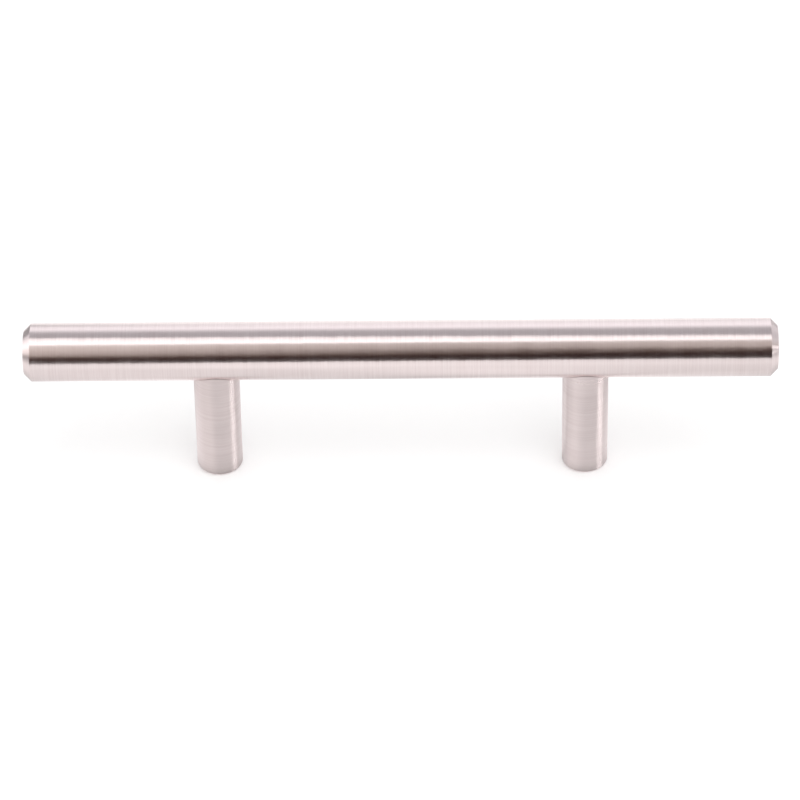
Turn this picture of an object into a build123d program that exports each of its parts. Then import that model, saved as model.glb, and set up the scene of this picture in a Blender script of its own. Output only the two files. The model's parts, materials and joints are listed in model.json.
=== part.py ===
from build123d import *
import os
from math import radians, tan

# A T bar cabinet pull: a round steel bar that overhangs two round posts. Each post is turned
# in a lathe and coped at its top, so that it seats round the bar. A headless set screw in line
# with the post is driven up through it into the bar and holds the two together. The door's
# own machine screws enter the posts from below.
# The mounting face is z = 0. The bar runs along X, and the origin lies midway between the posts.
# Lengths are in millimetres and angles in degrees.

# The bar: the overhang runs from a post's axis to the bar's end.
bar_diameter = 12.0
bar_overhang = 39.4
bar_end_chamfer = 1.5

# The posts: the spacing is the 3 inch drilling distance, and the projection runs from the
# mounting face to the far side of the bar.
post_diameter = 9.5
post_spacing = 76.2
projection = 35.0
post_base_rounding = 1.2

# The cope at the top of a post is cut this much larger than the bar, all round.
cope_clearance = 0.03

# The set screw: an M5 thread, a hexagon socket in its lower end and a cup point on its upper end.
# The point reaches the bar's axis.
set_screw_diameter = 5.0
set_screw_length = 12.0
set_screw_end_chamfer = 0.4
socket_across_flats = 2.5
socket_depth = 3.0
cup_diameter = 2.6
cup_angle = 120.0

# The tapped holes for the set screw, in the post and in the bar
thread_clearance = 0.05
end_clearance = 0.6
drill_point_angle = 118.0

# The tapped hole for the door's screw, a No. 8-32 thread drawn at its major diameter. It runs from
# the mounting face to the passage that lets a key through to the set screw.
mounting_thread_diameter = 4.166
mounting_lead_in = 0.35
tap_lead_length = 0.8
key_passage_diameter = 3.5
key_passage_length = 2.6

bar_radius = bar_diameter / 2
post_radius = post_diameter / 2
set_screw_radius = set_screw_diameter / 2
cup_radius = cup_diameter / 2
mounting_thread_radius = mounting_thread_diameter / 2
key_passage_radius = key_passage_diameter / 2

post_places = (-post_spacing / 2, post_spacing / 2)
bar_length = post_spacing + 2 * bar_overhang
bar_axis_height = projection - bar_radius
set_screw_base = bar_axis_height - set_screw_length


def cone_height(wide_radius, narrow_radius, full_angle):
    """How far a cone of this full angle runs while it narrows between two radii."""
    return (wide_radius - narrow_radius) / tan(radians(full_angle / 2))


set_screw_hole_radius = set_screw_radius + thread_clearance
hole_top_in_bar = bar_axis_height + end_clearance
hole_floor_in_post = set_screw_base - end_clearance
key_passage_top = hole_floor_in_post - cone_height(
    set_screw_hole_radius, key_passage_radius, drill_point_angle
)
key_passage_base = key_passage_top - key_passage_length
mounting_thread_depth = key_passage_base - tap_lead_length


def turned(*outline):
    """A lathe-turned solid: the closed outline of (radius, height) corners goes once round Z."""
    half_section = make_face(Plane.XZ * Polyline(*outline, close=True))
    return revolve(half_section, Axis.Z)


def rod_on_bar_axis(radius):
    """A plain round rod as long as the bar, on the bar's own axis."""
    return Pos(0, 0, bar_axis_height) * Rot(0, 90, 0) * Cylinder(radius, bar_length)


def set_screw_hole_in_bar():
    """What the drill and the tap take out of the bar's underside, and the free space below it."""
    point_height = cone_height(set_screw_hole_radius, 0, drill_point_angle)
    return turned(
        (0, 0),
        (set_screw_hole_radius, 0),
        (set_screw_hole_radius, hole_top_in_bar),
        (0, hole_top_in_bar + point_height),
    )


def bar():
    """The bar: chamfered at both ends, with one tapped hole over each post."""
    rod = rod_on_bar_axis(bar_radius)
    rod = chamfer(rod.edges().filter_by(GeomType.CIRCLE), bar_end_chamfer)
    for place in post_places:
        rod -= Pos(place, 0, 0) * set_screw_hole_in_bar()
    return rod


def post():
    """One post on the Z axis: a stepped bore runs right through it, its base is rounded off, and
    its top is coped to the bar."""
    blank = turned(
        (mounting_thread_radius + mounting_lead_in, 0),
        (post_radius, 0),
        (post_radius, bar_axis_height),
        (set_screw_hole_radius, bar_axis_height),
        (set_screw_hole_radius, hole_floor_in_post),
        (key_passage_radius, key_passage_top),
        (key_passage_radius, key_passage_base),
        (mounting_thread_radius, mounting_thread_depth),
        (mounting_thread_radius, mounting_lead_in),
    )
    outer_rim = blank.edges().group_by(Axis.Z)[0].sort_by(SortBy.RADIUS)[-1]
    blank = fillet(outer_rim, post_base_rounding)
    return blank - rod_on_bar_axis(bar_radius + cope_clearance)


def set_screw():
    """One headless screw on the Z axis, with its socket downwards and its cup point in the bar."""
    cup_height = cone_height(cup_radius, 0, cup_angle)
    body = turned(
        (0, set_screw_base),
        (set_screw_radius - set_screw_end_chamfer, set_screw_base),
        (set_screw_radius, set_screw_base + set_screw_end_chamfer),
        (set_screw_radius, bar_axis_height - (set_screw_radius - cup_radius)),
        (cup_radius, bar_axis_height),
        (0, bar_axis_height - cup_height),
    )
    socket = RegularPolygon(socket_across_flats / 2, 6, major_radius=False)
    return body - Pos(0, 0, set_screw_base) * extrude(socket, socket_depth)


pieces = {"bar": bar()}
for side, place in zip(("left", "right"), post_places):
    pieces[f"{side}_post"] = Pos(place, 0, 0) * post()
    pieces[f"{side}_set_screw"] = Pos(place, 0, 0) * set_screw()

os.makedirs("parts", exist_ok=True)
for name, piece in pieces.items():
    export_step(piece, f"parts/{name}.step")
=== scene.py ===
import json
from math import cos, hypot, pi, radians, sin, tan

import bmesh
import bpy
import numpy as np
from mathutils import Matrix, Vector


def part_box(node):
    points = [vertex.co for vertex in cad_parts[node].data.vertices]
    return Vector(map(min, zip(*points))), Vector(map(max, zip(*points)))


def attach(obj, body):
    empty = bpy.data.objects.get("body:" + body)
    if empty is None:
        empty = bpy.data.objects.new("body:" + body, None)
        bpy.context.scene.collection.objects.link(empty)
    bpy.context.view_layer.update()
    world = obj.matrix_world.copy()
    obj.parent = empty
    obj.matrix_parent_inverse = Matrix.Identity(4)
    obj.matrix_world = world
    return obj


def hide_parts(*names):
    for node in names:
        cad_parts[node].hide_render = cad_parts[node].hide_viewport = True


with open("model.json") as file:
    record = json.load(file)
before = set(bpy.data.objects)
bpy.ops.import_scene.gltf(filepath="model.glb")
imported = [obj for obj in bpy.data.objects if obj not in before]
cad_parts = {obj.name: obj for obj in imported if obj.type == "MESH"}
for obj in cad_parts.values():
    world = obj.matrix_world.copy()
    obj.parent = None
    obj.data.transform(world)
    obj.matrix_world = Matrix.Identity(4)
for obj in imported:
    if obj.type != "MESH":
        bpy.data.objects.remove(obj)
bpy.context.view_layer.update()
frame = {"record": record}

# The bar: a solid round steel rod, sawn to length and chamfered at both ends in the lathe.
# An abrasive belt is run round it as it turns, and it is then plated with satin nickel.
# Two holes are tapped into its underside for the set screws that hold the posts.
mm = 0.001

bar_low, bar_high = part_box("bar")
bar_radius = (bar_high.z - bar_low.z) / 2
bar_axis_height = (bar_high.z + bar_low.z) / 2
bar_half_length = bar_high.x
bar_end_chamfer = 1.5 * mm
bar_edge_radius = 0.12 * mm
post_places = [(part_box(node)[0].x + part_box(node)[1].x) / 2 for node in ("left_post", "right_post")]

# A piece from the lathe has this many facets round it. Six divides it, so a hexagon's corners fit.
turn_steps = 192
turn_angles = np.arange(turn_steps) * (2 * pi / turn_steps)
# A ring this far from each rounded edge keeps the shading of the flat beside it flat.
support_gap = 0.03 * mm
# Points nearer than this are one point, and faces that meet at more than this angle meet in an edge.
same_point = 1e-8
edge_angle = radians(32)


def eased(corners, radius, steps=3):
    """The outline's points, with each inner corner rounded and a supporting point on either side."""
    points = [corners[0]]
    for before, corner, after in zip(corners, corners[1:], corners[2:]):
        here = Vector(corner)
        inwards = (Vector(before) - here).normalized()
        onwards = (Vector(after) - here).normalized()
        half_angle = inwards.angle(onwards) / 2
        reach = radius / tan(half_angle)
        centre = here + (inwards + onwards).normalized() * (radius / sin(half_angle))
        first = (here + inwards * reach - centre).normalized()
        last = (here + onwards * reach - centre).normalized()
        points.append(here + inwards * (reach + support_gap))
        points += [centre + first.slerp(last, step / steps) * radius for step in range(steps + 1)]
        points.append(here + onwards * (reach + support_gap))
    return [tuple(point) for point in points] + [corners[-1]]


def finished(mesh):
    """The mesh with points that coincide joined, empty faces dropped and its faces turned outwards,
    and with smooth shading up to its true edges."""
    shape = bmesh.new()
    shape.from_mesh(mesh)
    bmesh.ops.remove_doubles(shape, verts=shape.verts, dist=same_point)
    bmesh.ops.dissolve_degenerate(shape, edges=shape.edges, dist=same_point)
    bmesh.ops.recalc_face_normals(shape, faces=shape.faces)
    shape.to_mesh(mesh)
    shape.free()
    mesh.shade_smooth()
    mesh.set_sharp_from_angle(angle=edge_angle)
    return mesh


def turned_mesh(name, outline, closed=False):
    """A mesh turned round its own Z axis from (radius, height) points, each a number or one for
    every angle. An open outline starts and ends on the axis, and a closed one goes round a bore."""
    rings = []
    for radius, height in outline:
        x, y = radius * np.cos(turn_angles), radius * np.sin(turn_angles)
        rings.append(np.stack(np.broadcast_arrays(x, y, height), axis=1))
    count = len(rings)
    points = np.concatenate(rings)
    following = np.roll(np.arange(turn_steps), -1)
    faces = []
    for ring in range(count if closed else count - 1):
        low, high = ring * turn_steps, (ring + 1) % count * turn_steps
        faces += [(low + a, low + b, high + b, high + a) for a, b in enumerate(following)]
    mesh = bpy.data.meshes.new(name)
    mesh.from_pydata(points.tolist(), [], faces)
    return finished(mesh)


def placed(name, mesh, matrix):
    """An object with this mesh, put in its place."""
    piece = bpy.data.objects.new(name, mesh)
    piece.matrix_world = matrix
    bpy.context.scene.collection.objects.link(piece)
    return piece


def from_hex(code):
    """A linear colour from an sRGB hex code."""
    parts = [int(code[i : i + 2], 16) / 255 for i in (1, 3, 5)]
    return [p / 12.92 if p <= 0.04045 else ((p + 0.055) / 1.055) ** 2.4 for p in parts] + [1.0]


def add_node(tree, kind, inputs=(), **settings):
    """Adds a shader node. Inputs pairs a socket with a value, or with the socket that feeds it."""
    made = tree.nodes.new("ShaderNode" + kind)
    for name, value in settings.items():
        setattr(made, name, value)
    for socket, value in dict(inputs).items():
        if isinstance(value, bpy.types.NodeSocket):
            tree.links.new(value, made.inputs[socket])
        else:
            made.inputs[socket].default_value = value
    return made


def brushed_nickel(name, line_length, scratch_spacing, lean_limit, roughness):
    """Satin nickel plate over steel that was brushed round its axis. The brushing throws light along
    the piece and keeps it sharp round it, so the reflections are long bands."""
    material = bpy.data.materials.new(name)
    material.use_nodes = True
    tree = material.node_tree
    surface = tree.nodes["Principled BSDF"]
    place = add_node(tree, "TexCoord").outputs["Object"]
    whereabouts = add_node(tree, "ObjectInfo").outputs["Location"]
    shifted = add_node(tree, "VectorMath", {0: place, 1: whereabouts}, operation="ADD").outputs[0]

    # The belt's scratches are some 0.03 mm apart. They are drawn about ten times as coarse, to show.
    scratch_scale = (1 / line_length, 1 / line_length, 1 / scratch_spacing)
    scratch_place = add_node(tree, "VectorMath", {0: shifted, 1: scratch_scale}, operation="MULTIPLY")
    scratches = add_node(tree, "TexNoise", {
        "Vector": scratch_place.outputs[0], "Scale": 1.0, "Detail": 2.5, "Roughness": 0.5,
    }).outputs["Fac"]
    # Broader bands, a few millimetres apart, show where the belt pressed harder.
    band_spacing = 1.6 * mm
    band_scale = (1 / line_length, 1 / line_length, 1 / band_spacing)
    band_place = add_node(tree, "VectorMath", {0: shifted, 1: band_scale}, operation="MULTIPLY")
    bands = add_node(
        tree, "TexNoise", {"Vector": band_place.outputs[0], "Scale": 0.5, "Detail": 2.0}
    ).outputs["Fac"]

    tone = add_node(tree, "Math", {0: bands, 1: 0.5, 2: scratches}, operation="MULTIPLY_ADD")
    tone = add_node(tree, "MapRange", {0: tone.outputs[0], 1: 0.45, 2: 1.05})
    colour = add_node(
        tree, "Mix", {0: tone.outputs[0], 6: from_hex("#E9DAD9"), 7: from_hex("#F5E8E7")}, data_type="RGBA"
    )
    tree.links.new(colour.outputs[2], surface.inputs["Base Color"])
    roughness_spread = 0.03
    dullest, shiniest = roughness + roughness_spread, roughness - roughness_spread
    dullness = add_node(tree, "MapRange", {0: bands, 1: 0.3, 2: 0.7, 3: shiniest, 4: dullest})
    tree.links.new(dullness.outputs[0], surface.inputs["Roughness"])

    # The scratches run round the local Z axis, and the light spreads at right angles to them.
    round_the_axis = add_node(
        tree, "VectorMath", {0: (0, 0, 1), 1: place}, operation="CROSS_PRODUCT"
    ).outputs[0]
    round_the_axis = add_node(
        tree, "VectorTransform", {0: round_the_axis},
        vector_type="VECTOR", convert_from="OBJECT", convert_to="WORLD",
    ).outputs[0]
    round_the_axis = add_node(tree, "VectorMath", {0: round_the_axis}, operation="NORMALIZE").outputs[0]
    facing = add_node(tree, "NewGeometry").outputs["Normal"]
    along = add_node(tree, "VectorMath", {0: facing, 1: round_the_axis}, operation="CROSS_PRODUCT")
    tree.links.new(along.outputs[0], surface.inputs["Tangent"])
    # Each scratch leans a little to one side, which frays the edges of the reflections.
    lean = add_node(tree, "MapRange", {0: scratches, 1: 0.25, 2: 0.75, 3: -lean_limit, 4: lean_limit})
    leaning = add_node(tree, "VectorMath", {0: round_the_axis, 3: lean.outputs[0]}, operation="SCALE")
    frayed = add_node(tree, "VectorMath", {0: facing, 1: leaning.outputs[0]}, operation="ADD")
    scratch_depth = 0.004 * mm
    bump = add_node(tree, "Bump", {
        "Strength": 0.4, "Distance": scratch_depth, "Height": scratches, "Normal": frayed.outputs[0],
    })
    tree.links.new(bump.outputs[0], surface.inputs["Normal"])

    surface.inputs["Metallic"].default_value = 1.0
    surface.inputs["Anisotropic"].default_value = 1.0
    return material


def with_hole(piece, tool):
    """Cuts the tool's shape out of the piece's mesh, and takes the tool away."""
    cut = piece.modifiers.new("hole", "BOOLEAN")
    cut.object = tool
    cut.solver = "EXACT"
    whole = piece.evaluated_get(bpy.context.evaluated_depsgraph_get())
    mesh = bpy.data.meshes.new_from_object(whole)
    piece.modifiers.clear()
    piece.data = mesh
    bpy.data.objects.remove(tool)


# Rings on both sides of each post's axis keep the cut for the set screw's hole to the stretch of bar
# over the post, and rings on the end faces keep their facets short.
beside_hole = 3.4 * mm
hole_rings = [(bar_radius, place + side * beside_hole) for place in post_places for side in (-1, 1)]
end_face_rings = [share * bar_radius for share in (0.0, 0.06, 0.3, 0.55)]
half_outline = [
    (bar_radius - bar_end_chamfer, bar_half_length),
    (bar_radius, bar_half_length - bar_end_chamfer),
]
bar_outline = eased(
    [(end_face_rings[-1], -bar_half_length)]
    + [(radius, -height) for radius, height in half_outline]
    + [(radius, height) for radius, height in reversed(half_outline)]
    + [(end_face_rings[-1], bar_half_length)],
    bar_edge_radius,
)
middle = len(bar_outline) // 2
bar_outline = (
    [(radius, -bar_half_length) for radius in end_face_rings[:-1]]
    + bar_outline[:middle] + sorted(hole_rings, key=lambda ring: ring[1]) + bar_outline[middle:]
    + [(radius, bar_half_length) for radius in reversed(end_face_rings[:-1])]
)
along_x = Matrix.Translation((0, 0, bar_axis_height)) @ Matrix.Rotation(radians(90), 4, "Y")
bar = placed("satin_bar", turned_mesh("satin_bar", bar_outline), along_x)

# Each hole runs on past the set screw's end, and then narrows to the drill's 118 degree point.
set_screw_hole_radius = 2.55 * mm
end_clearance = 0.6 * mm
drill_half_angle = radians(59)
hole_top = bar_axis_height + end_clearance
point_top = hole_top + set_screw_hole_radius / tan(drill_half_angle)
drill_outline = [(0, 0), (set_screw_hole_radius, 0), (set_screw_hole_radius, hole_top), (0, point_top)]
for place in post_places:
    drill = turned_mesh("drill", drill_outline)
    with_hole(bar, placed("drill", drill, Matrix.Translation((place, 0, 0))))
finished(bar.data)
bar.data.materials.clear()
bar.data.materials.append(brushed_nickel(
    "satin_nickel_brushed_round_the_bar",
    line_length=9 * mm, scratch_spacing=0.26 * mm, lean_limit=0.018, roughness=0.31,
))
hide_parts("bar")
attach(bar, "root")

# The posts: each is turned from round steel, drilled right through, tapped from below and coped
# at its top to seat round the bar. It has the same brushed finish and nickel plate as the bar.
post_low, post_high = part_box("left_post")
post_radius = (post_high.x - post_low.x) / 2
base_rounding = 1.2 * mm
# The post's plain side ends in a ring below the cope. The cope clears the bar by a hair, and its
# sharp edge is broken.
plain_side_top = 20 * mm
cope_clearance = 0.03 * mm
cope_radius = bar_radius + cope_clearance
cope_edge = 0.015 * mm

screw_hole = next(m for m in frame["record"]["mounts"] if m["name"] == "left_screw_hole")
thread_radius = screw_hole["dims"]["r_mm"] * mm
lead_in = screw_hole["pos_m"][2]
thread_end = lead_in + screw_hole["dims"]["length_mm"] * mm
thread_pitch = 25.4 / 32 * mm
key_passage_radius = 1.75 * mm
key_passage_length = 2.6 * mm
hole_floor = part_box("left_set_screw")[0].z - end_clearance


def cope_height(radius):
    """How high a post stands at this distance from its axis, at each angle round it."""
    return bar_axis_height - np.sqrt(cope_radius**2 - (radius * np.sin(turn_angles)) ** 2)


def tapped(radius, pitch, start, end):
    """The rings of a 60 degree thread that lies inwards of this radius and fades out at both ends."""
    rings_per_turn = 12
    count = round((end - start) / pitch * rings_per_turn)
    depth = 0.541 * pitch
    # The flat at this radius and the slope beside it, as shares of half the pitch. A flat twice as
    # wide is left at the thread's inner radius.
    outer_flat, slope = 0.125, 0.625
    rings = []
    for step in range(count + 1):
        height = start + (end - start) * step / count
        turns = height / pitch - turn_angles / (2 * pi)
        from_flat = np.abs((turns % 1.0) * 2 - 1)
        rise = np.clip((from_flat - outer_flat) / slope, 0, 1)
        fade = min(1.0, step / rings_per_turn, (count - step) / rings_per_turn)
        rings.append((radius - depth * fade * rise, height))
    return rings


def post_outline():
    """The post's closed outline, from the rim of the screw hole outwards, up, and down the bore."""
    corners = [(thread_radius + lead_in, 0), (post_radius, 0), (post_radius, plain_side_top)]
    outside = eased(corners, base_rounding, steps=10)
    rim = post_radius - cope_edge
    top = [(post_radius, cope_height(rim) - cope_edge)]
    top += [(radius, cope_height(radius)) for radius in np.linspace(rim, set_screw_hole_radius, 7)]
    cone = (set_screw_hole_radius - key_passage_radius) / tan(drill_half_angle)
    bore = [
        (set_screw_hole_radius, hole_floor),
        (key_passage_radius, hole_floor - cone),
        (key_passage_radius, hole_floor - cone - key_passage_length),
    ]
    return outside + top + bore + list(reversed(tapped(thread_radius, thread_pitch, lead_in, thread_end)))


def cut_steel():
    """Bare steel inside the bore, as the drill and the tap leave it: greyer and duller than the plate."""
    material = bpy.data.materials.new("drilled_and_tapped_steel")
    material.use_nodes = True
    tree = material.node_tree
    surface = tree.nodes["Principled BSDF"]
    place = add_node(tree, "TexCoord").outputs["Object"]
    # The tools leave fine rings some 0.1 mm apart, each a few millimetres long.
    ring_length, ring_spacing = 3 * mm, 0.1 * mm
    ring_scale = (1 / ring_length, 1 / ring_length, 1 / ring_spacing)
    ring_place = add_node(tree, "VectorMath", {0: place, 1: ring_scale}, operation="MULTIPLY")
    rings = add_node(
        tree, "TexNoise", {"Vector": ring_place.outputs[0], "Scale": 1.0, "Detail": 2.0}
    ).outputs["Fac"]
    tint = add_node(
        tree, "Mix", {0: rings, 6: from_hex("#7C7A77"), 7: from_hex("#B3AFA9")}, data_type="RGBA"
    )
    tree.links.new(tint.outputs[2], surface.inputs["Base Color"])
    dullness = add_node(tree, "MapRange", {0: rings, 3: 0.3, 4: 0.5})
    tree.links.new(dullness.outputs[0], surface.inputs["Roughness"])
    bump = add_node(tree, "Bump", {"Strength": 0.4, "Distance": 0.01 * mm, "Height": rings})
    tree.links.new(bump.outputs[0], surface.inputs["Normal"])
    surface.inputs["Metallic"].default_value = 1.0
    return material


post_mesh = turned_mesh("post", post_outline(), closed=True)
post_mesh.materials.append(brushed_nickel(
    "satin_nickel_brushed_round_the_post",
    line_length=14 * mm, scratch_spacing=0.34 * mm, lean_limit=0.01, roughness=0.3,
))
post_mesh.materials.append(cut_steel())
# Below the set screw's hole, the bore is bare steel.
bare_radius = set_screw_hole_radius - 0.01 * mm
for face in post_mesh.polygons:
    if hypot(face.center.x, face.center.y) < bare_radius:
        face.material_index = 1
for side, place in zip(("left", "right"), post_places):
    post = placed(f"{side}_turned_post", post_mesh, Matrix.Translation((place, 0, 0)))
    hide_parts(f"{side}_post")
    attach(post, "root")

# The set screws: M5, of alloy steel, hardened and blackened. The thread is rolled, the socket is
# forged into the lower end, and the upper end has a cup point that bites into the bar's hole.
screw_low, screw_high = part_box("left_set_screw")
screw_radius = (screw_high.x - screw_low.x) / 2
screw_pitch = 0.8 * mm
screw_chamfer = 0.4 * mm
socket_across_flats = 2.5 * mm
socket_depth = 3.0 * mm
socket_point = 0.4 * mm
socket_edge = 0.05 * mm
cup_radius = 1.3 * mm
cup_half_angle = radians(60)


def set_screw_outline():
    """The screw's outline from the bottom of the socket, out over the lower end, up, and into the cup."""
    sixth = pi / 3
    hexagon = socket_across_flats / 2 / np.cos((turn_angles + sixth / 2) % sixth - sixth / 2)
    socket_floor = screw_low.z + socket_depth
    socket = [
        (0, socket_floor + socket_point),
        (hexagon, socket_floor),
        (hexagon, screw_low.z + socket_edge),
        (hexagon + socket_edge, screw_low.z),
    ]
    thread_top = screw_high.z - (screw_radius - cup_radius)
    thread = tapped(screw_radius, screw_pitch, screw_low.z + screw_chamfer, thread_top)
    cup = [(cup_radius, screw_high.z), (0, screw_high.z - cup_radius / tan(cup_half_angle))]
    return socket + [(screw_radius - screw_chamfer, screw_low.z)] + thread + cup


def black_oxide_steel():
    """Hardened steel with a black oxide film: nearly black, and worn to grey on the thread's crests."""
    material = bpy.data.materials.new("black_oxide_on_alloy_steel")
    material.use_nodes = True
    tree = material.node_tree
    surface = tree.nodes["Principled BSDF"]
    place = add_node(tree, "TexCoord").outputs["Object"]
    # The film's mottling is about 0.5 mm across.
    mottle_size = 0.5 * mm
    mottle = add_node(
        tree, "TexNoise", {"Vector": place, "Scale": 1 / mottle_size, "Detail": 3.0}
    ).outputs["Fac"]
    film = add_node(
        tree, "Mix", {0: mottle, 6: from_hex("#2A2A2C"), 7: from_hex("#454446")}, data_type="RGBA"
    )
    across = add_node(tree, "VectorMath", {0: place, 1: (1, 1, 0)}, operation="MULTIPLY")
    from_axis = add_node(tree, "VectorMath", {0: across.outputs[0]}, operation="LENGTH").outputs["Value"]
    crest = add_node(tree, "MapRange", {0: from_axis, 1: screw_radius * 0.97, 2: screw_radius, 4: 0.55})
    worn = add_node(
        tree, "Mix", {0: crest.outputs[0], 6: film.outputs[2], 7: from_hex("#8B8885")}, data_type="RGBA"
    )
    tree.links.new(worn.outputs[2], surface.inputs["Base Color"])
    dullness = add_node(tree, "MapRange", {0: mottle, 3: 0.32, 4: 0.5})
    tree.links.new(dullness.outputs[0], surface.inputs["Roughness"])
    surface.inputs["Metallic"].default_value = 1.0
    return material


screw_mesh = turned_mesh("set_screw", set_screw_outline())
screw_mesh.materials.append(black_oxide_steel())
for side, place in zip(("left", "right"), post_places):
    screw = placed(f"{side}_threaded_set_screw", screw_mesh, Matrix.Translation((place, 0, 0)))
    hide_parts(f"{side}_set_screw")
    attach(screw, "root")

# The camera: it stands in front of the pull, a little to the right, and looks down on it from far
# enough to flatten the view. It is rolled a little, as the photograph is.
camera_place = Vector((12.8, -805.3, 618.6)) * mm
camera_turn = radians(0.93)
camera_dip = radians(36.8)
camera_roll = radians(0.984)

ahead, aside = cos(camera_turn) * cos(camera_dip), -sin(camera_turn) * cos(camera_dip)
looking = Vector((aside, ahead, -sin(camera_dip)))
camera_data = bpy.data.cameras.new("camera")
camera_data.sensor_width = 36
camera_data.lens = 218.3
camera_data.clip_start = 0.01
camera = bpy.data.objects.new("camera", camera_data)
camera.location = camera_place
upright = looking.to_track_quat("-Z", "Y").to_matrix()
camera.rotation_euler = (Matrix.Rotation(camera_roll, 3, looking) @ upright).to_euler()
bpy.context.scene.collection.objects.link(camera)
bpy.context.scene.camera = camera

# The studio floor: white paper. It takes the object's soft shadow, and a little of its white is
# its own, for the camera and for the metal, so that it joins the white round it.
floor_reach = 6.0
own_white = 0.18


def seen_straight(tree):
    """1 for a ray from the camera, a reflection or a clear piece, and 0 for one that gathers light."""
    ray = add_node(tree, "LightPath").outputs
    seen = ray["Is Camera Ray"]
    for kind in ("Is Glossy Ray", "Is Transmission Ray"):
        seen = add_node(tree, "Math", {0: seen, 1: ray[kind]}, operation="MAXIMUM").outputs[0]
    return seen


floor_mesh = bpy.data.meshes.new("floor")
floor_corners = [(x * floor_reach, y * floor_reach, 0) for x, y in ((-1, -1), (1, -1), (1, 1), (-1, 1))]
floor_mesh.from_pydata(floor_corners, [], [(0, 1, 2, 3)])
paper = bpy.data.materials.new("white_paper")
paper.use_nodes = True
paper_tree = paper.node_tree
glow = add_node(paper_tree, "Math", {0: seen_straight(paper_tree), 1: own_white}, operation="MULTIPLY")
paper_surface = paper_tree.nodes["Principled BSDF"]
paper_surface.inputs["Base Color"].default_value = from_hex("#F4F4F4")
paper_surface.inputs["Roughness"].default_value = 1.0
paper_surface.inputs["Specular IOR Level"].default_value = 0.0
paper_surface.inputs["Emission Color"].default_value = (1, 1, 1, 1)
paper_tree.links.new(glow.outputs[0], paper_surface.inputs["Emission Strength"])
floor_mesh.materials.append(paper)
floor = placed("floor", floor_mesh, Matrix.Identity(4))

# The light on the floor: the white world, and one broad lamp overhead, in front and a little to the
# right, which lays a soft shadow behind the pull.
world_light, world_white = 0.78, 1.0

world = bpy.data.worlds.new("white_studio")
bpy.context.scene.world = world
world.use_nodes = True
world_tree = world.node_tree
world_tree.nodes.clear()
strength = add_node(world_tree, "MapRange", {0: seen_straight(world_tree), 3: world_light, 4: world_white})
background = add_node(world_tree, "Background", {"Color": (1, 1, 1, 1), "Strength": strength.outputs[0]})
add_node(world_tree, "OutputWorld", {"Surface": background.outputs[0]})

sun_data = bpy.data.lights.new("overhead_lamp", "SUN")
sun_data.energy = 1.0
sun_data.angle = radians(60)
sun = bpy.data.objects.new("overhead_lamp", sun_data)
sun.rotation_euler = (radians(28), radians(14), 0)
bpy.context.scene.collection.objects.link(sun)
sun.visible_glossy = False


def reflector(name, columns, rows, points, colours):
    """A glowing sheet that only the metal sees, which paints a reflection on it, from its points up each
    column in turn and the colour at each of them."""
    faces = [
        (i * rows + j, i * rows + j + 1, (i + 1) * rows + j + 1, (i + 1) * rows + j)
        for i in range(columns - 1) for j in range(rows - 1)
    ]
    mesh = bpy.data.meshes.new(name)
    mesh.from_pydata(points, [], faces)
    glow = mesh.attributes.new("glow", "FLOAT_COLOR", "POINT")
    glow.data.foreach_set("color", np.append(colours, np.ones((len(points), 1)), axis=1).ravel())
    sheet_glow_material = bpy.data.materials.new(name)
    sheet_glow_material.use_nodes = True
    tree = sheet_glow_material.node_tree
    tree.nodes.clear()
    glow_colour = add_node(tree, "Attribute", attribute_name="glow").outputs["Color"]
    light = add_node(tree, "Emission", {"Color": glow_colour, "Strength": 1.0})
    add_node(tree, "OutputMaterial", {"Surface": light.outputs[0]})
    sheet_glow_material.cycles.emission_sampling = "NONE"
    mesh.materials.append(sheet_glow_material)
    sheet = placed(name, mesh, Matrix.Identity(4))
    sheet.visible_camera = sheet.visible_diffuse = sheet.visible_shadow = sheet.visible_transmission = False


# The reflectors round the bar: glowing sheets that only the metal sees, arching over it from the
# table's front edge to the back. They paint its reflection bands: a dark one in front, a brown one
# that lightens upwards, a painted white soft box overhead, a grey gap, and white behind.
sheet_half_width = 1.2
sheet_columns, sheet_rows = 65, 25
near, far = 0.238, 0.24

# These places along the bar, from left to right, are where the angles and shares below are given.
stations = (-0.118, -0.058, 0.03, 0.11)
even = (1, 1, 1, 1)
front_shares = (1.65, 0.6, 0.6, 1)
sheet_foot, dark_top, brown_top = [-7] * 4, (8.5, 35, 35, 31), (24.5, 63.5, 64, 39)
box_foot, box_top, box_shares = (63.9, 64.3, 65.4, 66.1), (95.4, 93, 86.8, 83), (0.98, 0.97, 0.91, 0.84)

black, brown = (0.018, 0.004, 0.002), (0.045, 0.018, 0.011)
tan_glow, cream = (0.66, 0.61, 0.57), (0.7, 0.66, 0.63)
box_front, box_back = (1.7, 1.7, 1.7), (1.5, 1.5, 1.5)
light_grey, grey = (0.48, 0.48, 0.5), (0.46, 0.46, 0.48)
white, dim_white = (1.2, 1.21, 1.25), (0.98, 0.98, 1.0)

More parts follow.
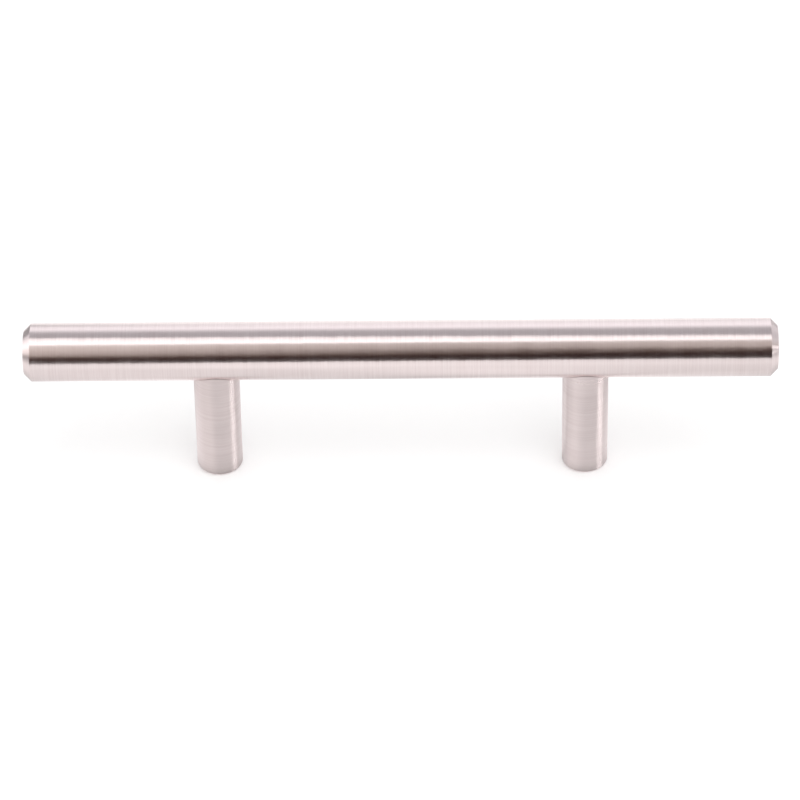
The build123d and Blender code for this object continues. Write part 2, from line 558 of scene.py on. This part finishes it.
# Each row: name, distance from the bar's axis, lowest and highest angle above the front horizon, the
# colours there, and the share of them that the sheet glows with.
arched_sheets = [
    ("dark_front", near, sheet_foot, dark_top, black, brown, even),
    ("brown_front", near, dark_top, brown_top, brown, tan_glow, front_shares),
    ("cream_front", near, brown_top, box_foot, tan_glow, cream, front_shares),
    ("soft_box", near, box_foot, box_top, box_front, box_back, box_shares),
    ("grey_gap", far, [76] * 4, [118] * 4, light_grey, grey, even),
    ("grey_fade", far, [118] * 4, [138] * 4, grey, white, even),
    ("white_back", far, [138] * 4, [176] * 4, white, dim_white, even),
]
for name, distance, lowest, highest, low_colour, high_colour, shares in arched_sheets:
    points, colours = [], []
    for x in np.linspace(-sheet_half_width, sheet_half_width, sheet_columns):
        start, end, share = (np.interp(x, stations, values) for values in (lowest, highest, shares))
        for t in np.linspace(0, 1, sheet_rows):
            angle = radians(start + (end - start) * t)
            points.append((x, -distance * cos(angle), bar_axis_height + distance * sin(angle)))
            colours.append([(low + (high - low) * t) * share for low, high in zip(low_colour, high_colour)])
    reflector(name, sheet_columns, sheet_rows, points, colours)

# A black glowing sheet on the floor, which only the metal sees, paints a dark reflection that joins
# the lowest of them to the painted light of the paper close to the pull. Its near edge is given as
# (x, y) from left to right.
dark_sheet_height, dark_sheet_far_edge = 1 * mm, -0.237
dark_sheet_near_edge = (
    (-sheet_half_width, -0.125), (-0.1, -0.125), (-0.04, -0.165), (0.02, -0.187), (sheet_half_width, -0.187)
)
dark_sheet_points = [(x, y, dark_sheet_height) for x, near_y in dark_sheet_near_edge for y in (near_y, dark_sheet_far_edge)]
reflector("dark_mat", len(dark_sheet_near_edge), 2, dark_sheet_points, [black] * len(dark_sheet_points))

# The paper round the pull, as the metal sees it: a glowing sheet that carries painted light and shade.
# The painted light is brightest in front of the middle, with painted shade under the bar and close to
# the posts, and it differs a little from side to side of each post. Its points lie closest together
# near the pull.
painted_light_paper_height = 0.5 * mm
painted_paper_x = np.concatenate([
    np.linspace(-0.4, -0.2, 6), np.linspace(-0.19, 0.19, 191), np.linspace(0.2, 0.4, 6)
])
painted_paper_y = np.concatenate([
    np.linspace(-0.193, -0.03, 41), np.linspace(-0.028, 0.03, 59), np.linspace(0.034, 0.1, 8)
])
x, y = np.meshgrid(painted_paper_x, painted_paper_y, indexing="ij")
# Painted light, brightest in front of the middle and falling off towards both sides.
tone = np.interp(
    x,
    (-0.4, -0.08, -0.055, -0.03, 0.02, 0.07, 0.4),
    (0.7, 0.9, 0.97, 1.02, 1.0, 0.88, 0.6),
)
# Painted light in front of the bar, and painted shade under and behind it.
tone *= np.interp(
    y,
    (-0.153, -0.095, -0.06, -0.04, -0.02, -0.01, 0.005, 0.04, 0.08),
    (1.08, 1.04, 1.11, 1.02, 0.98, 0.94, 0.8, 0.72, 0.9),
)
# Each row: post, bearings round it (0 is in front, 90 at the right), and the painted light's gain on
# the paper there. The gains fade out midway between the posts, and painted shade darkens the paper at
# the foot of each.
post_surroundings = [
    (
        post_places[0],
        (-180, -110, -90, -77, -33, -13, 25, 45, 110, 140, 180),
        (1.35, 1.3, 1.1, 1.05, 1.0, 0.92, 0.88, 0.9, 0.97, 1.2, 1.3),
    ),
    (
        post_places[1],
        (-180, -110, -95, -80, -57, -30, 0, 30, 60, 110, 140, 180),
        (1.3, 1.15, 0.8, 0.95, 1.05, 1.08, 0.98, 0.98, 1.0, 1.3, 1.4, 1.3),
    ),
]
for place, bearings, gains in post_surroundings:
    away, bearing = np.hypot(x - place, y), np.degrees(np.arctan2(x - place, -y))
    tone *= 1 + (np.interp(bearing, bearings, gains) - 1) * np.interp(away, (0.036, 0.046), (1, 0))
    # Painted shade at the foot of each post.
    tone *= np.interp(away, (0.0045, 0.0075), (0.6, 1.0))
# Painted light on the paper beyond both ends of the bar shows in its end chamfers.
for painted_glow_place in (-0.135, 0.135):
    tone *= 1 + 0.4 * np.interp(np.hypot(x - painted_glow_place, y), (0.025, 0.05), (1, 0))
painted_paper_points = np.stack([x, y, np.full_like(x, painted_light_paper_height)], axis=-1).reshape(-1, 3).tolist()
painted_paper_tones = np.repeat(tone.ravel()[:, None], 3, axis=1)
reflector("lit_paper", len(painted_paper_x), len(painted_paper_y), painted_paper_points, painted_paper_tones)

# A black sheet that only the metal sees hangs close in front of the bar: a painted dark reflection
# that keeps the painted strip light at the right off it. Its heights are given at three places, from
# left to right.
dark_band_place, dark_band_columns = -0.025, 32
dark_band_stations, dark_band_foot, dark_band_top = (-0.05, 0, 0.06), (0.0268, 0.0271, 0.0273), (0.0335, 0.0355, 0.038)
dark_band_points = [
    (x, dark_band_place, np.interp(x, dark_band_stations, heights))
    for x in np.linspace(-0.05, 0.26, dark_band_columns) for heights in (dark_band_foot, dark_band_top)
]
reflector("black_flag", dark_band_columns, 2, dark_band_points, [black] * len(dark_band_points))

# The glowing sheets that stand on the floor, which only the metal sees: a low strip at the right paints
# each post's bright stripe, a painted highlight, and a glowing sheet at the left and dark cards at both
# sides paint light and shade on the posts' sides and the bar's chamfers.
# Each row: name, bearing (0 is in front, 90 at the right) and distance of its two ends, height, tone.
standing_columns, standing_rows, foot = 17, 5, 1 * mm
standing_sheets = [
    ("strip_light", (52.5, 0.5), (84.5, 0.31), 0.08, 6.4),
    ("right_card", (87.5, 0.22), (150, 0.22), 0.031, 0.0),
    ("left_light", (-114, 0.4), (-84, 0.4), 0.15, 1.8),
    ("left_card", (-150, 0.22), (-116, 0.22), 0.09, 0.08),
]
for name, first, last, top, tone in standing_sheets:
    points = [
        (distance * sin(radians(bearing)), -distance * cos(radians(bearing)), height)
        for bearing, distance in np.linspace(first, last, standing_columns)
        for height in np.linspace(foot, top, standing_rows)
    ]
    reflector(name, standing_columns, standing_rows, points, [(tone, tone, tone)] * len(points))

bpy.context.scene.view_settings.view_transform = "Standard"
